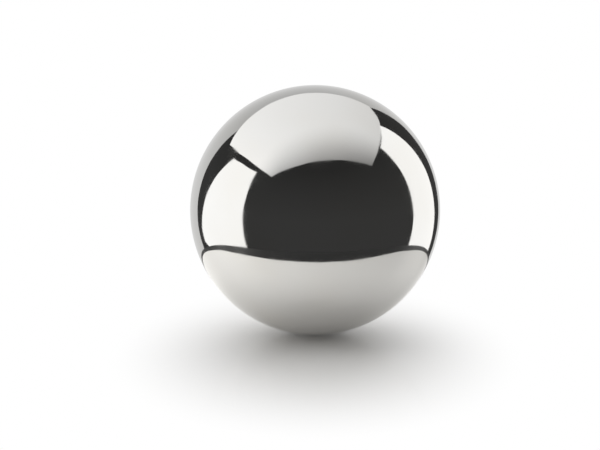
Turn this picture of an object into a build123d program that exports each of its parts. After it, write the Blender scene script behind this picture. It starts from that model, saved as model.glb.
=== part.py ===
from build123d import *
import os

# A sphere magnet: one sintered neodymium-iron-boron ball, ground round and
# bright nickel plated all over. It is one piece, with no seam, flat or bore.
# It is magnetised along one diameter, which is the Z axis here, and the
# origin is the centre of the ball.

# Driving dimension, in millimetres
ball_diameter = 5.0  # over the plating

# Worked out from it
ball_radius = ball_diameter / 2

with BuildPart() as magnet_ball:
    # Half of the ball's section, turned once about the magnetic axis.
    with BuildSketch(Plane.XZ):
        with BuildLine():
            meridian = CenterArc((0, 0), ball_radius, start_angle=-90, arc_size=180)
            Line(meridian @ 1, meridian @ 0)
        make_face()
    revolve(axis=Axis.Z)

    # The two poles are where it holds on to steel or to the next magnet. Each
    # joint's Z axis points straight out of its pole.
    RigidJoint("north_pole", joint_location=Location((0, 0, ball_radius)))
    RigidJoint("south_pole", joint_location=Location((0, 0, -ball_radius), (180, 0, 0)))

magnet_ball.part.label = "magnet_ball"

os.makedirs("parts", exist_ok=True)
export_step(magnet_ball.part, "parts/magnet_ball.step")
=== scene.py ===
import bmesh
import bpy
import math
from mathutils import Matrix, Vector


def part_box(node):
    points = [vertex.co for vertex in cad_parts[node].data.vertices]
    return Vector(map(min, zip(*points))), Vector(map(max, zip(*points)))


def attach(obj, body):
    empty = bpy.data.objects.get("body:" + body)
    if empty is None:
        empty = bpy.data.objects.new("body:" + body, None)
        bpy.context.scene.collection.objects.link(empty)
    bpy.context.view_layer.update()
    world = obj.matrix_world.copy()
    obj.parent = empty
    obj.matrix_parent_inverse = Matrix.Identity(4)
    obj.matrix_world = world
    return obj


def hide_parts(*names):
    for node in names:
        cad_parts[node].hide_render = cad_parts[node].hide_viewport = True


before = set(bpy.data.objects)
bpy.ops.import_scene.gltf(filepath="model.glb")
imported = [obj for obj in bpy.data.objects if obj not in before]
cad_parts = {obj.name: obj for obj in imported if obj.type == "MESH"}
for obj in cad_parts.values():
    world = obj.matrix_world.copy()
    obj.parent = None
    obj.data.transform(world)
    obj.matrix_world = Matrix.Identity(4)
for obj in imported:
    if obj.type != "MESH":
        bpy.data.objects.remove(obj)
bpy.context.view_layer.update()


# The magnet ball: one ball of sintered neodymium-iron-boron. The real one is cut
# from its block as a small cube and ground round between plates, and this mesh
# is made the same way. It is one piece, loose, held by its own magnetism.
ball_low, ball_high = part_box("magnet_ball")
ball_radius = (ball_high.z - ball_low.z) / 2
grinding_passes = 6  # each pass halves the width of the faces, down to about 1.4 degrees

ball_mesh = bmesh.new()
bmesh.ops.create_cube(ball_mesh, size=2 * ball_radius)
for grinding in range(grinding_passes):
    bmesh.ops.subdivide_edges(ball_mesh, edges=ball_mesh.edges, cuts=1, use_grid_fill=True)
    for point in ball_mesh.verts:
        point.co = ball_radius * point.co.normalized()
for face in ball_mesh.faces:
    face.smooth = True

plated_ball = bpy.data.objects.new("plated_ball", bpy.data.meshes.new("plated_ball"))
bpy.context.scene.collection.objects.link(plated_ball)
ball_mesh.to_mesh(plated_ball.data)
ball_mesh.free()


# The nickel plating: bright nickel over copper and nickel, laid on in a tumbling
# barrel, some 0.02 mm thick in all. It is a clean mirror with a faintly warm
# tint, and only a trace of orange peel and haze breaks what it reflects.
nickel_tint = (0.66, 0.655, 0.64, 1.0)
nickel_tint_thin = (0.645, 0.635, 0.61, 1.0)  # a shade warmer where the bright coat is thin
mirror_roughness, haze_roughness = 0.035, 0.085
peel_size = 0.0007  # in metres, as all lengths here: from one swell to the next
peel_height = 0.000005
haze_size = 0.0004
tint_size = 0.002
pattern_low, pattern_high = 0.35, 0.65  # the noise seldom goes past these

nickel = bpy.data.materials.new("bright_nickel_plating")
nickel.use_nodes = True
nodes, links = nickel.node_tree.nodes, nickel.node_tree.links
shader = nodes["Principled BSDF"]
shader.inputs["Metallic"].default_value = 1.0
place = nodes.new("ShaderNodeTexCoord").outputs["Object"]


def plating_pattern(size, detail):
    """Smooth noise over the ball's surface, with swells about size apart."""
    pattern = nodes.new("ShaderNodeTexNoise")
    pattern.inputs["Scale"].default_value = 1 / size
    pattern.inputs["Detail"].default_value = detail
    links.new(place, pattern.inputs["Vector"])
    return pattern.outputs["Fac"]


def over_range(value, low, high):
    """Spreads a pattern's own range from low to high."""
    spread = nodes.new("ShaderNodeMapRange")
    spread.interpolation_type = "SMOOTHSTEP"
    spread.inputs["From Min"].default_value = pattern_low
    spread.inputs["From Max"].default_value = pattern_high
    spread.inputs["To Min"].default_value = low
    spread.inputs["To Max"].default_value = high
    links.new(value, spread.inputs["Value"])
    return spread.outputs["Result"]


tint = nodes.new("ShaderNodeMix")
tint.data_type = "RGBA"
tint.inputs["A"].default_value = nickel_tint
tint.inputs["B"].default_value = nickel_tint_thin
links.new(over_range(plating_pattern(tint_size, detail=2), 0, 1), tint.inputs["Factor"])
links.new(tint.outputs["Result"], shader.inputs["Base Color"])
haze = over_range(plating_pattern(haze_size, detail=4), mirror_roughness, haze_roughness)
links.new(haze, shader.inputs["Roughness"])
peel = nodes.new("ShaderNodeBump")
peel.inputs["Distance"].default_value = peel_height
links.new(plating_pattern(peel_size, detail=1), peel.inputs["Height"])
links.new(peel.outputs["Normal"], shader.inputs["Normal"])

plated_ball.data.materials.append(nickel)
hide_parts("magnet_ball")
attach(plated_ball, "root")


# The floor: a plain white sheet with a slight gloss, laid flat, which carries the
# ball's shade and a faint reflection. Away from the ball, what is seen of it goes
# over to pure white, which puts no light on anything.
floor_size = 1.0
floor_white = (0.86, 0.852, 0.835, 1.0)
floor_gloss = 0.1
floor_gloss_roughness = 0.12
shade_centre = (0, -0.002, ball_low.z)  # the light comes a little from behind
shade_width, shade_depth = 0.0082, 0.0136  # outside this oval the floor is pure white
shade_core = 0.15  # the share of the oval that keeps its full shade

floor_mesh = bmesh.new()
bmesh.ops.create_grid(floor_mesh, x_segments=1, y_segments=1, size=floor_size / 2)
bmesh.ops.translate(floor_mesh, verts=floor_mesh.verts, vec=(0, 0, ball_low.z))
floor = bpy.data.objects.new("floor", bpy.data.meshes.new("floor"))
bpy.context.scene.collection.objects.link(floor)
floor_mesh.to_mesh(floor.data)
floor_mesh.free()


def seen_directly(tree):
    """1 for what the camera, metal or glass sees, and 0 for light that falls on things."""
    path = tree.nodes.new("ShaderNodeLightPath")
    either = tree.nodes.new("ShaderNodeMath")
    either.operation = "MAXIMUM"
    tree.links.new(path.outputs["Is Camera Ray"], either.inputs[0])
    tree.links.new(path.outputs["Is Glossy Ray"], either.inputs[1])
    any_of = tree.nodes.new("ShaderNodeMath")
    any_of.operation = "MAXIMUM"
    tree.links.new(either.outputs["Value"], any_of.inputs[0])
    tree.links.new(path.outputs["Is Transmission Ray"], any_of.inputs[1])
    return any_of.outputs["Value"]


floor_paint = bpy.data.materials.new("white_floor")
floor_paint.use_nodes = True
nodes, links = floor_paint.node_tree.nodes, floor_paint.node_tree.links
nodes.remove(nodes["Principled BSDF"])
sheet = nodes.new("ShaderNodeBsdfDiffuse")
sheet.inputs["Color"].default_value = floor_white
gloss = nodes.new("ShaderNodeBsdfGlossy")
gloss.inputs["Roughness"].default_value = floor_gloss_roughness
surface = nodes.new("ShaderNodeMixShader")
surface.inputs["Fac"].default_value = floor_gloss
links.new(sheet.outputs["BSDF"], surface.inputs[1])
links.new(gloss.outputs["BSDF"], surface.inputs[2])
white = nodes.new("ShaderNodeEmission")

# How far out in the shade's oval a place on the floor lies, from 0 at its centre
# to 1 at its edge.
from_centre = nodes.new("ShaderNodeVectorMath")
from_centre.operation = "SUBTRACT"
from_centre.inputs[1].default_value = shade_centre
links.new(nodes.new("ShaderNodeTexCoord").outputs["Object"], from_centre.inputs[0])
in_shares = nodes.new("ShaderNodeVectorMath")
in_shares.operation = "DIVIDE"
in_shares.inputs[1].default_value = (shade_width / 2, shade_depth / 2, 1)
links.new(from_centre.outputs["Vector"], in_shares.inputs[0])
away = nodes.new("ShaderNodeVectorMath")
away.operation = "LENGTH"
links.new(in_shares.outputs["Vector"], away.inputs[0])

clear = nodes.new("ShaderNodeMapRange")
clear.interpolation_type = "SMOOTHSTEP"
clear.inputs["From Min"].default_value = shade_core
links.new(away.outputs["Value"], clear.inputs["Value"])
share = nodes.new("ShaderNodeMath")
share.operation = "MULTIPLY"
links.new(clear.outputs["Result"], share.inputs[0])
links.new(seen_directly(floor_paint.node_tree), share.inputs[1])
over_to_white = nodes.new("ShaderNodeMixShader")
links.new(share.outputs["Value"], over_to_white.inputs["Fac"])
links.new(surface.outputs["Shader"], over_to_white.inputs[1])
links.new(white.outputs["Emission"], over_to_white.inputs[2])
links.new(over_to_white.outputs["Shader"], nodes["Material Output"].inputs["Surface"])
floor.data.materials.append(floor_paint)


# The table top: the part of that white sheet which the mirror sees. It is a small
# oval with a dark edge of painted shade, so that the dark room begins close to the
# ball, as in the photograph. A glow of painted light brightens it, most at its left.
table_width, table_depth = 0.0118, 0.0098
table_edge = 0.0009
edge_forward = 0.0006  # so the dark edge goes thin behind the ball
table_rise = 0.00002  # clear of the floor
table_segments = 128
table_roughness = 0.45
table_ior = 2.2
painted_light_left, painted_light_right = 0.5, 0.12  # painted light: a glow that lifts its tone in the mirror
painted_light_start, painted_light_full = 0.7 * ball_radius, 1.8 * ball_radius  # so the foot stays shaded
painted_light_tint = (1.0, 0.985, 0.955, 1.0)
table_edge_painted_shade = (0.045, 0.045, 0.045, 1.0)


def table_oval(name, width, depth, forward, height):
    """A flat oval that only mirrors above it see. The floor's own gloss looks
    through it from below. Gives the node tree of its paint."""
    oval_mesh = bmesh.new()
    bmesh.ops.create_circle(oval_mesh, cap_ends=True, segments=table_segments, radius=width / 2)
    bmesh.ops.scale(oval_mesh, verts=oval_mesh.verts, vec=(1, depth / width, 1))
    bmesh.ops.translate(oval_mesh, verts=oval_mesh.verts, vec=(0, -forward, height))
    oval = bpy.data.objects.new(name, bpy.data.meshes.new(name))
    bpy.context.scene.collection.objects.link(oval)
    oval_mesh.to_mesh(oval.data)
    oval_mesh.free()
    oval.visible_camera = False
    oval.visible_diffuse = False
    oval.visible_shadow = False
    paint = bpy.data.materials.new(name + "_paint")
    paint.use_nodes = True
    nodes, links = paint.node_tree.nodes, paint.node_tree.links
    seen_from = nodes.new("ShaderNodeMixShader")
    links.new(nodes.new("ShaderNodeNewGeometry").outputs["Backfacing"], seen_from.inputs["Fac"])
    links.new(nodes["Principled BSDF"].outputs["BSDF"], seen_from.inputs[1])
    links.new(nodes.new("ShaderNodeBsdfTransparent").outputs["BSDF"], seen_from.inputs[2])
    links.new(seen_from.outputs["Shader"], nodes["Material Output"].inputs["Surface"])
    oval.data.materials.append(paint)
    return paint.node_tree


edge_tree = table_oval(
    "table_edge",
    table_width + 2 * table_edge,
    table_depth + 2 * table_edge,
    edge_forward,
    ball_low.z + table_rise / 2,
)
# Its near-black is painted shade, for the table's rim in shadow.
edge_tree.nodes["Principled BSDF"].inputs["Base Color"].default_value = table_edge_painted_shade

top_tree = table_oval("table_top", table_width, table_depth, 0, ball_low.z + table_rise)
nodes, links = top_tree.nodes, top_tree.links
top_shader = nodes["Principled BSDF"]
top_shader.inputs["Base Color"].default_value = floor_white
top_shader.inputs["Roughness"].default_value = table_roughness
top_shader.inputs["IOR"].default_value = table_ior
top_shader.inputs["Emission Color"].default_value = painted_light_tint

# The painted light falls from left to right, and begins a little away from the ball's foot.
place = nodes.new("ShaderNodeTexCoord").outputs["Object"]
along = nodes.new("ShaderNodeSeparateXYZ")
links.new(place, along.inputs["Vector"])
side = nodes.new("ShaderNodeMapRange")
side.inputs["From Min"].default_value = -table_width / 2
side.inputs["From Max"].default_value = table_width / 2
side.inputs["To Min"].default_value = painted_light_left
side.inputs["To Max"].default_value = painted_light_right
links.new(along.outputs["X"], side.inputs["Value"])
away = nodes.new("ShaderNodeVectorMath")
away.operation = "LENGTH"
links.new(place, away.inputs[0])
clear = nodes.new("ShaderNodeMapRange")
clear.interpolation_type = "SMOOTHSTEP"
clear.inputs["From Min"].default_value = painted_light_start
clear.inputs["From Max"].default_value = painted_light_full
links.new(away.outputs["Value"], clear.inputs["Value"])
painted_light = nodes.new("ShaderNodeMath")
painted_light.operation = "MULTIPLY"
links.new(side.outputs["Result"], painted_light.inputs[0])
links.new(clear.outputs["Result"], painted_light.inputs[1])
links.new(painted_light.outputs["Value"], top_shader.inputs["Emission Strength"])

# The mirror sees the table top, and not the whole of the floor under it.
floor.visible_glossy = False


# The softboxes: flat boxes of white cloth over lamps, one overhead and an upright
# one on each side, all turned a little about the ball. They light the floor, and
# the mirror shows them as its pale top and its two white bands.
overhead_turn, upright_turn = math.radians(13), math.radians(18)
overhead_height = 0.055
overhead_left, overhead_right = 1.27 * overhead_height, 1.04 * overhead_height
overhead_front, overhead_back = 0.68 * overhead_height, 1.48 * overhead_height
overhead_light = 1.38  # at the left, and less by overhead_fall at the right
overhead_fall = 0.45
overhead_front_share = 0.3  # the share of the light that the fade at the front goes down to
front_fade_start, front_fade_end = -0.19, 0.285  # in shares of the depth, at the left
front_fade_slant = 0.125  # how much farther back the fade lies at the right
left_reach, right_reach = 1.6 * overhead_height, 1.06 * overhead_height
left_front, left_back = -0.1 * overhead_height, 2.6 * overhead_height
right_front, right_back = -0.16 * overhead_height, 0.74 * overhead_height
left_top_share, right_top_share = 0.44, 0.72  # of its depth that an upright box has at its top
left_low, left_high = -1.0 * overhead_height, 1.09 * overhead_height
right_low, right_high = -0.6 * overhead_height, 0.985 * overhead_height
left_light, right_light = 1.43, 1.4


def softbox(name, corner, along, up, turn, light, top_share=1):
    """A flat glowing panel from one corner along two edges, turned about the ball
    and unseen by the camera. It narrows to top_share at the far end of up. Gives
    the node tree of its light."""
    panel = bmesh.new()
    panel.loops.layers.uv.new("across")
    half = 0.5  # of a square with a side of 1, whose places are shares of the panel
    bmesh.ops.create_grid(panel, x_segments=1, y_segments=1, size=half, calc_uvs=True)
    corner, along, up = Vector(corner), Vector(along), Vector(up)
    for point in panel.verts:
        sideways, raised = point.co.x + half, point.co.y + half
        width_share = 1 - (1 - top_share) * raised
        point.co = corner + sideways * width_share * along + raised * up
    about_ball = Matrix.Rotation(turn, 3, "Z")
    bmesh.ops.rotate(panel, verts=panel.verts, cent=(0, 0, 0), matrix=about_ball)
    box = bpy.data.objects.new(name, bpy.data.meshes.new(name))
    bpy.context.scene.collection.objects.link(box)
    panel.to_mesh(box.data)
    panel.free()
    box.visible_camera = False
    glow = bpy.data.materials.new(name + "_glow")
    glow.use_nodes = True
    nodes, links = glow.node_tree.nodes, glow.node_tree.links
    nodes.remove(nodes["Principled BSDF"])
    lamp = nodes.new("ShaderNodeEmission")
    lamp.inputs["Strength"].default_value = light
    links.new(lamp.outputs["Emission"], nodes["Material Output"].inputs["Surface"])
    box.data.materials.append(glow)
    return glow.node_tree


softbox(
    "left_softbox",
    (-left_reach, left_front, left_low),
    (0, left_back - left_front, 0),
    (0, 0, left_high - left_low),
    upright_turn,
    left_light,
    left_top_share,
)
softbox(
    "right_softbox",
    (right_reach, right_front, right_low),
    (0, right_back - right_front, 0),
    (0, 0, right_high - right_low),
    upright_turn,
    right_light,
    right_top_share,
)
overhead_glow = softbox(
    "overhead_softbox",
    (-overhead_left, -overhead_front, overhead_height),
    (overhead_left + overhead_right, 0, 0),
    (0, overhead_front + overhead_back, 0),
    overhead_turn,
    overhead_light,
)

# The overhead light fades towards its front edge, and more so at the right.
nodes, links = overhead_glow.nodes, overhead_glow.links
across = nodes.new("ShaderNodeSeparateXYZ")
links.new(nodes.new("ShaderNodeTexCoord").outputs["UV"], across.inputs["Vector"])
slant = nodes.new("ShaderNodeMath")
slant.operation = "MULTIPLY_ADD"
slant.inputs[1].default_value = -front_fade_slant
links.new(across.outputs["X"], slant.inputs[0])
links.new(across.outputs["Y"], slant.inputs[2])
fade = nodes.new("ShaderNodeMapRange")
fade.interpolation_type = "SMOOTHSTEP"
fade.inputs["From Min"].default_value = front_fade_start
fade.inputs["From Max"].default_value = front_fade_end
fade.inputs["To Min"].default_value = overhead_front_share
fade.inputs["To Max"].default_value = 1.0
links.new(slant.outputs["Value"], fade.inputs["Value"])
fall = nodes.new("ShaderNodeMath")
fall.operation = "MULTIPLY_ADD"
fall.inputs[1].default_value = -overhead_fall
fall.inputs[2].default_value = overhead_light
links.new(across.outputs["X"], fall.inputs[0])
faded = nodes.new("ShaderNodeMath")
faded.operation = "MULTIPLY"
links.new(fall.outputs["Value"], faded.inputs[0])
links.new(fade.outputs["Result"], faded.inputs[1])
links.new(faded.outputs["Value"], nodes["Emission"].inputs["Strength"])


# The walls of the set glow, though they are no lamps. A near-black drape hung round the
# front and sides is painted shade for the unlit room, which the mirror shows as its dark
# middle, and a pale grey sweep behind is painted light, which it shows at its rim. Neither
# the camera nor the light that falls on the floor meets them.
wall_radius = 0.16
wall_low, wall_high = -0.12, 0.45
wall_steps = 96
drape_left, drape_right = math.radians(-137), math.radians(157)
# The drape's low glow is painted shade, and the sweep's glow is painted light.
drape_glow = 0.05
sweep_glow = 0.78
wall_top_share = 0.6  # of the glow at the foot that is left at eye_level over the ball
eye_level = 0.16


def wall(name, start, end, glow_at_foot):
    """A part of an upright cylinder between two angles from the camera's side. It is no lamp
    but glows with painted light, dimmer towards its top."""
    sheet = bmesh.new()
    foot = sheet.verts.new((0, -wall_radius, wall_low))
    head = sheet.verts.new((0, -wall_radius, wall_high))
    hem = sheet.edges.new((foot, head))
    to_start = Matrix.Rotation(start, 3, "Z")
    bmesh.ops.rotate(sheet, verts=sheet.verts, cent=(0, 0, 0), matrix=to_start)
    bmesh.ops.spin(
        sheet,
        geom=[foot, head, hem],
        angle=end - start,
        steps=wall_steps,
        axis=(0, 0, 1),
        cent=(0, 0, 0),
    )
    hung = bpy.data.objects.new(name, bpy.data.meshes.new(name))
    bpy.context.scene.collection.objects.link(hung)
    sheet.to_mesh(hung.data)
    sheet.free()
    hung.visible_camera = False
    hung.visible_diffuse = False
    hung.visible_shadow = False
    cloth = bpy.data.materials.new(name + "_cloth")
    cloth.use_nodes = True
    nodes, links = cloth.node_tree.nodes, cloth.node_tree.links
    nodes.remove(nodes["Principled BSDF"])
    height = nodes.new("ShaderNodeSeparateXYZ")
    links.new(nodes.new("ShaderNodeTexCoord").outputs["Object"], height.inputs["Vector"])
    glow_fade = nodes.new("ShaderNodeMapRange")
    glow_fade.inputs["From Max"].default_value = eye_level
    glow_fade.inputs["To Min"].default_value = glow_at_foot
    glow_fade.inputs["To Max"].default_value = glow_at_foot * wall_top_share
    links.new(height.outputs["Z"], glow_fade.inputs["Value"])
    tone = nodes.new("ShaderNodeEmission")
    links.new(glow_fade.outputs["Result"], tone.inputs["Strength"])
    links.new(tone.outputs["Emission"], nodes["Material Output"].inputs["Surface"])
    hung.data.materials.append(cloth)


wall("drape_painted_shade", drape_left, drape_right, drape_glow)
wall("sweep_painted_light", drape_right, drape_left + 2 * math.pi, sweep_glow)


# The room: white all round to the camera and to mirrors, as the photograph's
# background is. What it puts on the set is a low even light.
room_light = 0.42

world = bpy.data.worlds.new("white_room")
bpy.context.scene.world = world
world.use_nodes = True
nodes, links = world.node_tree.nodes, world.node_tree.links
room = nodes["Background"]
room.inputs["Color"].default_value = (1, 1, 1, 1)
level = nodes.new("ShaderNodeMapRange")
level.inputs["To Min"].default_value = room_light
level.inputs["To Max"].default_value = 1.0
links.new(seen_directly(world.node_tree), level.inputs["Value"])
links.new(level.outputs["Result"], room.inputs["Strength"])


# The camera: a long lens a little above the ball, at the photograph's viewing
# angle, aimed so that the ball's centre stands at its column and row of the frame.
camera_elevation = math.radians(11)
camera_distance = 0.0667
camera_lens = 200
camera_reach = 10 * floor_size
image_width, image_height = 600, 450
ball_column, ball_row = 315, 210

camera = bpy.data.objects.new("camera", bpy.data.cameras.new("camera"))
bpy.context.scene.collection.objects.link(camera)
bpy.context.scene.camera = camera
camera.data.lens = camera_lens
camera.data.clip_start = ball_radius
camera.data.clip_end = camera_reach
back = Vector((0, -math.cos(camera_elevation), math.sin(camera_elevation)))
camera_up = Vector((0, math.sin(camera_elevation), math.cos(camera_elevation)))
pixel = camera_distance * camera.data.sensor_width / camera_lens / image_width
right_of_middle = (ball_column - image_width / 2) * pixel
above_middle = (image_height / 2 - ball_row) * pixel
ball_centre = (ball_low + ball_high) / 2
aim = ball_centre - Vector((right_of_middle, 0, 0)) - above_middle * camera_up
camera.location = aim + camera_distance * back
camera.rotation_mode = "QUATERNION"
camera.rotation_quaternion = (-back).to_track_quat("-Z", "Y")

bpy.context.scene.view_settings.view_transform = "Standard"
